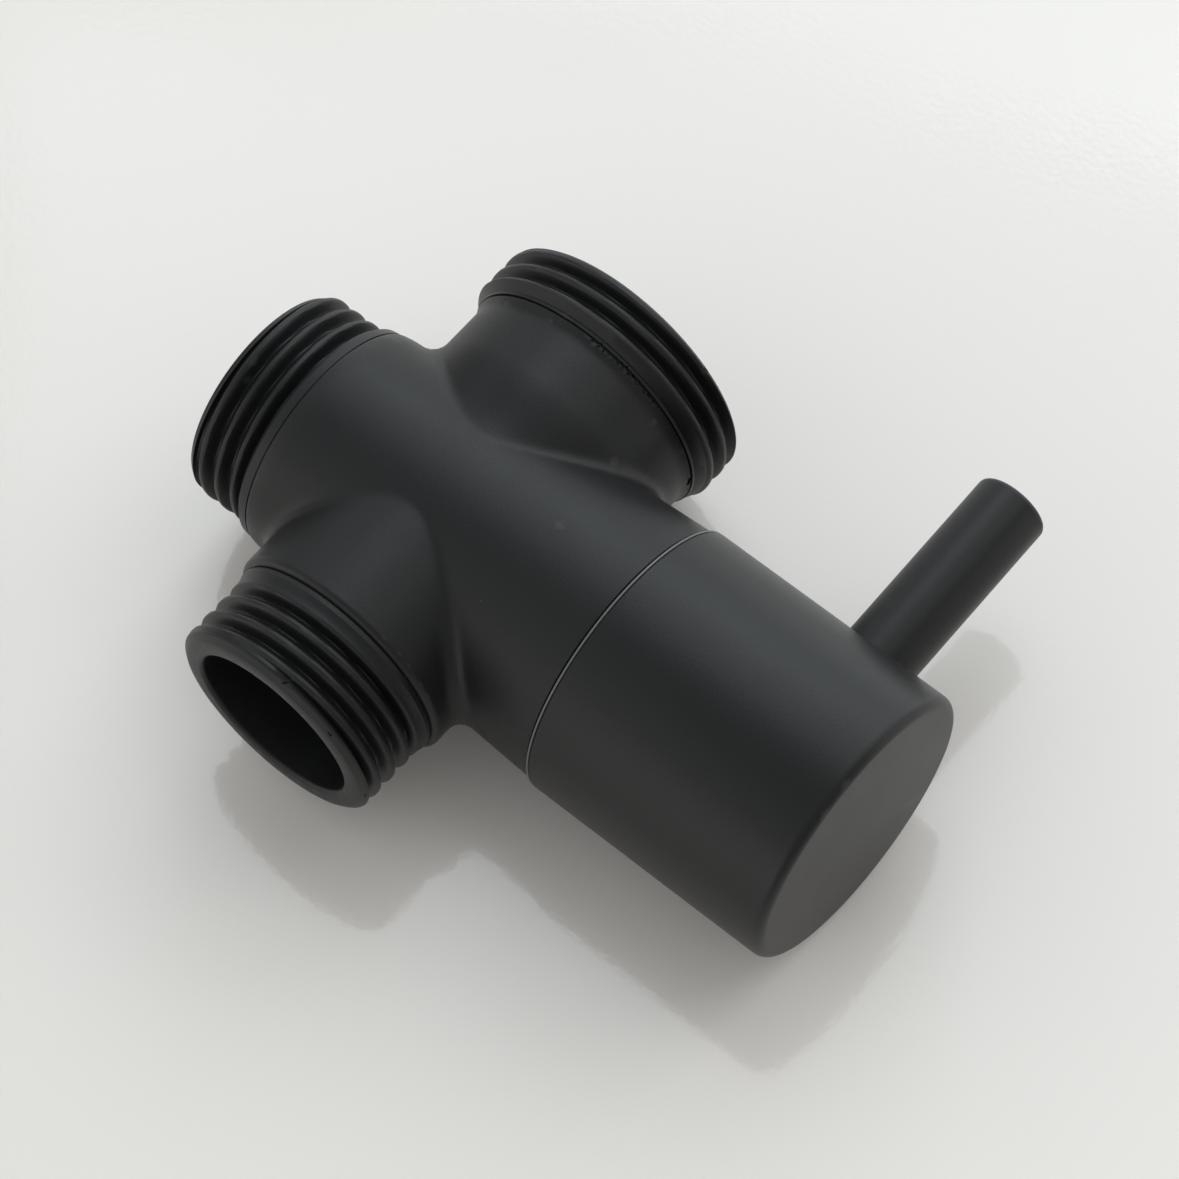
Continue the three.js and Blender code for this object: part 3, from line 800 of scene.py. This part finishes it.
def brim_marks():
    """A row of small burrs along neck B's brim, and a chip each on its lip and brim."""
    brim = neck_b_radius(STEP_B)
    row = [(STEP_B - 0.1, brim, 9 + 2.7 * i, 0.45 + 0.45 * scattered(i + 20)) for i in range(14)]
    singles = [(REACH_B - 0.1, 12.95, 48, 0.8), (STEP_B - 0.3, brim, 92, 1.2)]
    return chips("brim_marks", "+Y", row + singles, BRIM_CHIP_DEPTH)


def rim_marks():
    """Three small chips on port C's rim."""
    spots = [(23.6, 10.3, 348, 0.9), (23.7, 10.3, 266, 0.7), (23.8, 10.1, 316, 0.5)]
    return chips("rim_marks", "-Y", spots, RIM_CHIP_DEPTH)


def valve_body(material):
    body = body_core()
    tree = thread_tree()
    combine(
        body,
        "UNION",
        port_a_outside(tree, material),
        port_b_outside(tree, material),
        port_c_outside(tree, material),
        bar("spigot", BARREL_END - 3, SPIGOT_END, SPIGOT_RADIUS),
    )
    slot_start = SLEEVE_END - KEY_LENGTH - KEY_GAP
    slot_end = SPIGOT_END + 1
    slot_half = KEY_WIDTH / 2 + KEY_GAP
    slot_floor = -SLEEVE_RADIUS - KEY_HEIGHT - KEY_GAP
    slot_top = -SLEEVE_RADIUS + 0.4
    combine(
        body,
        "DIFFERENCE",
        brim_marks(),
        rim_marks(),
        way_through("way_a", "-X", REACH_A, **BORE_A),
        way_through("way_b", "+Y", REACH_B, **BORE_B),
        way_through("way_c", "-Y", REACH_C, **BORE_C),
        bar("chamber", CHAMBER_START, slot_end, CHAMBER_RADIUS),
        block("key_slot", (slot_start, -slot_half, slot_floor), (slot_end, slot_half, slot_top)),
    )
    return finish_piece(body, material, "body", "body_coat", "valve_body")


# ------------------------------------------------------------------------------------------------
# Knob, lever, grub screw and ring
# ------------------------------------------------------------------------------------------------


def knob(material):
    outline = [
        (KNOB_START, 0, 0),
        (KNOB_START, KNOB_RADIUS, KNOB_MOUTH_EDGE),
        (KNOB_END, KNOB_RADIUS, KNOB_EDGE),
        (KNOB_END, 0, 0),
    ]
    made = turned("knob_coated", rounded(outline), sides=ROUND_SIDES)
    flats = ADAPTER_ACROSS_FLATS + 2 * SOCKET_GAP
    beyond = KNOB_RADIUS + 1
    seat = bar("lever_seat", LEVER_SEAT, beyond, LEVER_RADIUS + SEAT_GAP, "+Y", 96)
    stud_hole = bar("stud_hole", STUD_FOOT - HOLE_GAP, beyond, STUD_RADIUS + HOLE_GAP, "+Y", 48)
    grub_hole = bar("grub_hole", 0, beyond, GRUB_RADIUS + HOLE_GAP, "-Z", 64)
    combine(
        made,
        "DIFFERENCE",
        bar("cavity", KNOB_START - 1, KNOB_CAVITY_END, KNOB_CAVITY_RADIUS),
        hexagon("socket", KNOB_CAVITY_END - 1, ADAPTER_END + SOCKET_GAP, flats),
        shift_along(seat, LEVER_PLACE),
        shift_along(stud_hole, LEVER_PLACE),
        shift_along(grub_hole, GRUB_PLACE),
    )
    turn_to_rest(made)
    return finish_piece(made, material, "handle", "knob_coat", "knob_shell")


def lever(material):
    outline = [
        (STUD_FOOT, 0, 0),
        (STUD_FOOT, STUD_RADIUS, 0.3),
        (LEVER_SEAT + SEAT_DEPTH, STUD_RADIUS, 0),
        (LEVER_SEAT + SEAT_DEPTH, LEVER_RADIUS, 0),
        (LEVER_REACH, LEVER_RADIUS, LEVER_EDGE),
        (LEVER_REACH, 0, 0),
    ]
    made = turned("lever_coated", rounded(outline), "+Y", 128)
    turn_to_rest(shift_along(made, LEVER_PLACE))
    return finish_piece(made, material, "handle", "knob_coat", "lever_pin")


def grub_screw(material):
    outline = [
        (GRUB_FOOT, 0, 0),
        (GRUB_FOOT, GRUB_POINT_RADIUS, 0),
        (GRUB_FOOT + 0.6, GRUB_RADIUS, 0),
        (GRUB_END, GRUB_RADIUS, 0.25),
        (GRUB_END, 0, 0),
    ]
    made = turned("grub_screw_turned", rounded(outline), "-Z", 64)
    socket = hexagon("socket", 0, 3.0, GRUB_SOCKET_ACROSS_FLATS)
    floor = Matrix.Translation((0, 0, -GRUB_END + GRUB_SOCKET_DEPTH))
    socket.data.transform(floor @ Matrix.Rotation(math.pi / 2, 4, "Y"))
    combine(made, "DIFFERENCE", socket)
    turn_to_rest(shift_along(made, GRUB_PLACE))
    return finish_piece(made, material, "handle", "spring_steel", "knob_grub_screw")


def glide_ring(material):
    flange_end = RING_START + RING_FLANGE
    outline = [
        (RING_START, RING_BORE, 0),
        (RING_START, RING_RADIUS, RING_EDGE),
        (flange_end, RING_RADIUS, RING_EDGE),
        (flange_end, RING_SLEEVE_RADIUS, 0),
        (RING_END, RING_SLEEVE_RADIUS, 0),
        (RING_END, RING_BORE, 0),
    ]
    made = turned("glide_ring_moulded", rounded(outline), sides=ROUND_SIDES)
    return finish_piece(made, material, "body", "glide_plastic", "glide_ring")


# ------------------------------------------------------------------------------------------------
# Pieces seen through the ports
# ------------------------------------------------------------------------------------------------

def ring_groove(place, surface, section):
    """Cutter for an O-ring's groove."""
    half = section / 2 + 0.12
    return tube("groove", place - half, place + half, surface - section, surface + 0.5)


def seal_recess(axis):
    """Cutter for the saddle-shaped recess of a side port's seal, with a floor round the barrel."""
    top = SLEEVE_RADIUS + 0.5
    recess = tube("recess", 0, top, SEAL_RECESS["inner"], SEAL_RECESS["outer"], axis)
    shell = tube("shell", -7, 7, SEAL_RECESS["floor"], top)
    return combine(recess, "INTERSECT", shell)


def cartridge_sleeve(material):
    lip_end = SLEEVE_START + SLEEVE_LIP
    outline = [
        (SLEEVE_START, SLEEVE_LIP_BORE, 0),
        (SLEEVE_START, SLEEVE_RADIUS, 0.3),
        (SLEEVE_END, SLEEVE_RADIUS, 0.3),
        (SLEEVE_END, SLEEVE_BORE, 0),
        (lip_end, SLEEVE_BORE, 0),
        (lip_end, SLEEVE_LIP_BORE, 0),
    ]
    made = turned("cartridge_sleeve_moulded", rounded(outline))
    key = block(
        "key",
        (SLEEVE_END - KEY_LENGTH, -KEY_WIDTH / 2, -SLEEVE_RADIUS - KEY_HEIGHT),
        (SLEEVE_END, KEY_WIDTH / 2, -SLEEVE_RADIUS + 0.5),
    )
    combine(made, "UNION", key)
    window = [
        (0, 0, 0),
        (0, WINDOW_RADIUS, 0),
        (8.2, WINDOW_RADIUS, 0.2),
        (10.0, WINDOW_MOUTH, 0),
        (10.0, 0, 0),
    ]
    cuts = [ring_groove(place, SLEEVE_RADIUS, SLEEVE_RING) for place in SLEEVE_GROOVES]
    for axis in ("+Y", "-Y"):
        cuts += [seal_recess(axis), turned("window", rounded(window), axis)]
    combine(made, "DIFFERENCE", *cuts)
    return finish_piece(made, material, "body", "liner_plastic", "cartridge_sleeve")


def diverter_rotor(material):
    outline = [
        (ROTOR_START, 0, 0),
        (ROTOR_START, ROTOR_RADIUS, 0.3),
        (ROTOR_END, ROTOR_RADIUS, 0.3),
        (ROTOR_END, 0, 0),
    ]
    made = turned("diverter_rotor_turned", rounded(outline))
    bore = [
        (ROTOR_START - 1, 0, 0),
        (ROTOR_START - 1, ROTOR_BORE + 0.6, 0),
        (ROTOR_START + 0.4, ROTOR_BORE, 0),
        (ROTOR_BORE_END, ROTOR_BORE, 1.2),
        (ROTOR_BORE_END, 0, 0),
    ]
    half_length = ROTOR_SLOT_LENGTH / 2
    half_width = ROTOR_SLOT_WIDTH / 2
    combine(
        made,
        "DIFFERENCE",
        turned("bore", rounded(bore)),
        bar("window", 0, 8, WINDOW_RADIUS, "+Y"),
        bar("pad_seat", PAD_FLOOR - PAD_GAP, 8, PAD_RADIUS + PAD_GAP, "-Y"),
        block(
            "slot",
            (ROTOR_SLOT_START, -half_length, -half_width),
            (ROTOR_END + 1, half_length, half_width),
        ),
        *[ring_groove(place, ROTOR_RADIUS, ROTOR_RING) for place in ROTOR_GROOVES],
    )
    turn_to_rest(made)
    return finish_piece(made, material, "handle", "brass", "diverter_rotor")


# ------------------------------------------------------------------------------------------------
# Materials
# ------------------------------------------------------------------------------------------------


class Finish:
    """Short hands for building a procedural material on Object coordinates, in metres."""

    def __init__(self, name):
        self.material = bpy.data.materials.new(name)
        self.material.use_nodes = True
        self.nodes = self.material.node_tree.nodes
        self.links = self.material.node_tree.links
        self.shader = self.nodes["Principled BSDF"]
        self.place = self.nodes.new("ShaderNodeTexCoord").outputs["Object"]

    def feed(self, socket, value):
        if isinstance(value, bpy.types.NodeSocket):
            self.links.new(value, socket)
        elif isinstance(value, tuple) and len(value) == 3:
            socket.default_value = value + (1.0,) if socket.type == "RGBA" else value
        else:
            socket.default_value = value

    def noise(self, size, detail=2.0, roughness=0.5, stretch=None):
        """Cloudy pattern with features of a size in metres, from 0 to 1."""
        made = self.nodes.new("ShaderNodeTexNoise")
        made.inputs["Scale"].default_value = 1 / size
        made.inputs["Detail"].default_value = detail
        made.inputs["Roughness"].default_value = roughness
        place = self.place
        if stretch:
            mapping = self.nodes.new("ShaderNodeMapping")
            mapping.inputs["Scale"].default_value = stretch
            self.feed(mapping.inputs["Vector"], place)
            place = mapping.outputs[0]
        self.feed(made.inputs["Vector"], place)
        return made.outputs["Fac"]

    def dots(self, size, share, radius):
        """1 inside sparse round dots. size is the cell in metres, share is how many of the cells
        have a dot, and radius is in cells."""
        made = self.nodes.new("ShaderNodeTexVoronoi")
        made.inputs["Scale"].default_value = 1 / size
        self.feed(made.inputs["Vector"], self.place)
        near = self.steps(made.outputs["Distance"], radius, radius * 0.6)
        pick = self.nodes.new("ShaderNodeSeparateColor")
        self.feed(pick.inputs[0], made.outputs["Color"])
        chosen = self.steps(pick.outputs[0], share + 0.02, share)
        return self.math("MULTIPLY", near, chosen)

    def math(self, operation, *values):
        made = self.nodes.new("ShaderNodeMath")
        made.operation = operation
        for socket, value in zip(made.inputs, values):
            self.feed(socket, value)
        return made.outputs[0]

    def steps(self, value, low, high, to_low=0.0, to_high=1.0):
        made = self.nodes.new("ShaderNodeMapRange")
        for socket, given in zip(made.inputs, (value, low, high, to_low, to_high)):
            self.feed(socket, given)
        return made.outputs[0]

    def mix(self, share, first, second):
        made = self.nodes.new("ShaderNodeMix")
        made.data_type = "RGBA"
        self.feed(made.inputs[0], share)
        self.feed(made.inputs[6], first)
        self.feed(made.inputs[7], second)
        return made.outputs[2]

    def edge_wear_and_highlight(self, tone, paler_edge_tone, amount, low=0.52, high=0.6):
        """Tone that goes part of the way to a paler one on outward edges: edge wear, and in the black coat also a
        painted highlight on crests and edges.
        """
        pointed = self.nodes.new("ShaderNodeNewGeometry").outputs["Pointiness"]
        edges = self.steps(pointed, low, high)
        return self.mix(self.math("MULTIPLY", edges, amount), tone, paler_edge_tone)

    def patchy_roughness(self, pattern, low, high):
        return self.steps(pattern, 0.3, 0.7, low, high)

    def bump(self, height, distance):
        made = self.nodes.new("ShaderNodeBump")
        made.inputs["Distance"].default_value = distance
        made.inputs["Strength"].default_value = 1.0
        self.feed(made.inputs["Height"], height)
        self.feed(self.shader.inputs["Normal"], made.outputs[0])

    def set(self, **values):
        for key, value in values.items():
            self.feed(self.shader.inputs[key.replace("_", " ")], value)


def brighter(colour, times):
    return tuple(min(1.0, channel * times) for channel in colour)


def black_coat(name, dark, light, rough_low, rough_high):
    """Satin-matt powder coat: cloudy tone, fine grain, a few dust specks, and paler outward edges that are part
    thinner coat and part painted highlight on thread crests and edges.
    """
    finish = Finish(name)
    tone = finish.mix(finish.noise(0.009, 3.0), dark, light)
    # Paler tone on outward edges by Pointiness: part thinner coat, part painted highlight on thread crests and
    # edges.
    coat_worn_and_lit = finish.edge_wear_and_highlight(tone, (0.07, 0.073, 0.074), 0.25, 0.55, 0.63)
    specks = finish.dots(0.0016, 0.03, 0.045)
    dusty = finish.mix(finish.math("MULTIPLY", specks, 0.25), coat_worn_and_lit, (0.25, 0.25, 0.24))
    rough = finish.patchy_roughness(finish.noise(0.004), rough_low, rough_high)
    finish.set(Base_Color=dusty, Roughness=rough, Specular_IOR_Level=0.35)
    finish.bump(finish.noise(0.00022, roughness=0.6), 0.000012)
    return finish.material


def moulded_plastic(name, dark, light, roughness):
    """Moulded plastic: soft tone, slightly polished and paler on edges."""
    finish = Finish(name)
    tone = finish.mix(finish.noise(0.003), dark, light)
    rough = finish.patchy_roughness(finish.noise(0.001), roughness - 0.06, roughness + 0.06)
    finish.set(Base_Color=finish.edge_wear_and_highlight(tone, brighter(light, 1.2), 0.3), Roughness=rough)
    finish.bump(finish.noise(0.0003), 0.000015)
    return finish.material


def turned_metal(name, dark, light, roughness):
    """Machined metal: tool marks round the barrel axis, a dull film, brighter edges."""
    finish = Finish(name)
    marks = finish.noise(0.0006, roughness=0.6, stretch=(6.0, 0.3, 0.3))
    tone = finish.mix(finish.noise(0.005, 3.0), dark, light)
    rough = finish.patchy_roughness(marks, roughness - 0.08, roughness + 0.1)
    finish.set(Base_Color=finish.edge_wear_and_highlight(tone, brighter(light, 1.25), 0.4), Metallic=1.0, Roughness=rough)
    finish.bump(marks, 0.00001)
    return finish.material


def nitrile_rubber(name):
    """Black rubber: dull, a little greyer on edges."""
    finish = Finish(name)
    tone = finish.mix(finish.noise(0.002, 3.0), (0.009, 0.009, 0.01), (0.018, 0.018, 0.019))
    rough = finish.patchy_roughness(finish.noise(0.001), 0.55, 0.72)
    finish.set(Base_Color=finish.edge_wear_and_highlight(tone, (0.04, 0.04, 0.04), 0.3), Roughness=rough)
    finish.bump(finish.noise(0.0002), 0.00001)
    return finish.material


def pale_board():
    """Glossy pale board with a fine pebbled surface."""
    finish = Finish("pale_board")
    tone = finish.mix(finish.noise(0.05), (0.90, 0.865, 0.825), (0.92, 0.885, 0.845))
    rough = finish.patchy_roughness(finish.noise(0.02), 0.08, 0.11)
    finish.set(Base_Color=tone, Roughness=rough, Specular_IOR_Level=0.7)
    finish.bump(finish.noise(0.0007, roughness=0.45), 0.00001)
    return finish.material


# ------------------------------------------------------------------------------------------------
# Camera, board and lights
# ------------------------------------------------------------------------------------------------


def view_axes(azimuth, elevation, roll):
    """Right, up and backward directions of a view from a compass angle and height in degrees."""
    a, e, r = math.radians(azimuth), math.radians(elevation), math.radians(roll)
    back = Vector((math.sin(a) * math.cos(e), -math.cos(a) * math.cos(e), math.sin(e)))
    right = Vector((math.cos(a), math.sin(a), 0.0))
    up = back.cross(right)
    return right * math.cos(r) + up * math.sin(r), up * math.cos(r) - right * math.sin(r), back


def add_camera():
    right, up, back = view_axes(VIEW_AZIMUTH, VIEW_ELEVATION, VIEW_ROLL)
    aim = Vector((CENTRE + VIEW_AIM) / MM)
    data = bpy.data.cameras.new("camera")
    data.lens = VIEW_LENS
    data.sensor_width = SENSOR_WIDTH
    data.clip_start = 0.01
    camera = bpy.data.objects.new("camera", data)
    camera.matrix_world = axes_matrix(right, up, back, aim + back * VIEW_DISTANCE / MM)
    bpy.context.scene.collection.objects.link(camera)
    bpy.context.scene.camera = camera


def add_board():
    half = BOARD_WIDTH / 2
    corners = [(-half, -half, 0), (half, -half, 0), (half, half, 0), (-half, half, 0)]
    board = new_object("board", corners, [(0, 1, 2, 3)])
    board.data.materials.append(pale_board())


def add_softbox(name, azimuth, elevation, radiance, colour):
    """Soft light that faces the valve from a compass angle and height in degrees."""
    right, up, back = view_axes(azimuth, elevation, 0.0)
    width, height = SOFTBOX_SIZES[elevation]
    data = bpy.data.lights.new(name, "AREA")
    data.shape = "RECTANGLE"
    data.size, data.size_y = width, height
    data.energy = radiance * math.pi * width * height
    data.color = colour
    light = bpy.data.objects.new(name, data)
    light.matrix_world = axes_matrix(right, up, back, back * SOFTBOX_DISTANCE)
    bpy.context.scene.collection.objects.link(light)


def add_world():
    world = bpy.data.worlds.new("room")
    world.use_nodes = True
    background = world.node_tree.nodes["Background"]
    background.inputs["Color"].default_value = (1.0, 1.0, 1.0, 1.0)
    background.inputs["Strength"].default_value = ROOM_BRIGHTNESS
    bpy.context.scene.world = world


# Board, room and softboxes, in metres
BOARD_WIDTH = 3.0
ROOM_BRIGHTNESS = 0.41
SOFTBOX_DISTANCE = 1.0
COOL = (0.88, 0.97, 1.0)
NEUTRAL = (1.0, 1.0, 1.0)
WARM = (1.0, 0.96, 0.92)

# Width and height of the softboxes at each height angle
SOFTBOX_SIZES = {12: (0.72, 0.42), 40: (0.6, 0.5), 66: (0.48, 0.45)}

# Name, compass angle, height angle, brightness and colour
SOFTBOXES = [
    ("back_strip_right", 135, 12, 0.9, NEUTRAL),
    ("back_strip_middle", 180, 12, 1.5, COOL),
    ("back_strip_left", 225, 12, 1.1, COOL),
    ("back_box_right", 157, 40, 1.2, NEUTRAL),
    ("back_box_left", 202, 40, 2.2, COOL),
    ("overhead_right", 144, 66, 0.6, NEUTRAL),
    ("overhead_left", 216, 66, 1.45, COOL),
    ("left_card", 247, 40, 0.5, COOL),
    ("front_left_card", 292, 40, 0.35, COOL),
    ("front_card", 337, 40, 0.35, COOL),
    ("front_strip_left", 315, 12, 1.05, WARM),
    ("front_strip_right", 0, 12, 1.05, WARM),
]


def add_studio():
    add_camera()
    add_board()
    add_world()
    for softbox in SOFTBOXES:
        add_softbox(*softbox)
    bpy.context.scene.view_settings.view_transform = "Standard"


# ------------------------------------------------------------------------------------------------
# The valve
# ------------------------------------------------------------------------------------------------

body_coat = black_coat("body_coat", (0.0064, 0.0069, 0.0075), (0.0078, 0.0084, 0.0090), 0.40, 0.44)
knob_coat = black_coat("knob_coat", (0.0068, 0.0072, 0.0078), (0.0080, 0.0086, 0.0092), 0.38, 0.40)
glide_plastic = moulded_plastic("glide_plastic", (0.115, 0.118, 0.118), (0.14, 0.143, 0.143), 0.4)
liner_plastic = moulded_plastic("liner_plastic", (0.72, 0.70, 0.65), (0.8, 0.78, 0.73), 0.5)
brass = turned_metal("brass", (0.5, 0.34, 0.12), (0.66, 0.47, 0.19), 0.35)
spring_steel = turned_metal("spring_steel", (0.28, 0.29, 0.3), (0.38, 0.39, 0.4), 0.35)
seal_rubber = nitrile_rubber("seal_rubber")

ORINGS = [f"{piece}_oring_{end}" for piece in ("sleeve", "rotor", "spindle") for end in ("inner", "outer")]

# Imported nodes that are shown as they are, by slot
INNER_NODES = {
    "liner_plastic": (liner_plastic, ["thrust_washer", "spline_adapter"]),
    "brass": (brass, ["spindle", "bonnet"]),
    "spring_steel": (spring_steel, ["circlip", "stop_pin"]),
    "seal_rubber": (seal_rubber, ["port_b_seal", "port_c_seal", "shutoff_pad", "bonnet_oring", *ORINGS]),
}

valve_body(body_coat)
knob(knob_coat)
lever(knob_coat)
grub_screw(spring_steel)
glide_ring(glide_plastic)
cartridge_sleeve(liner_plastic)
diverter_rotor(brass)
for slot_name, (material, names) in INNER_NODES.items():
    for node_name in names:
        node = frame["nodes"][node_name]
        node.data.materials.clear()
        node.data.materials.append(material)

add_studio()
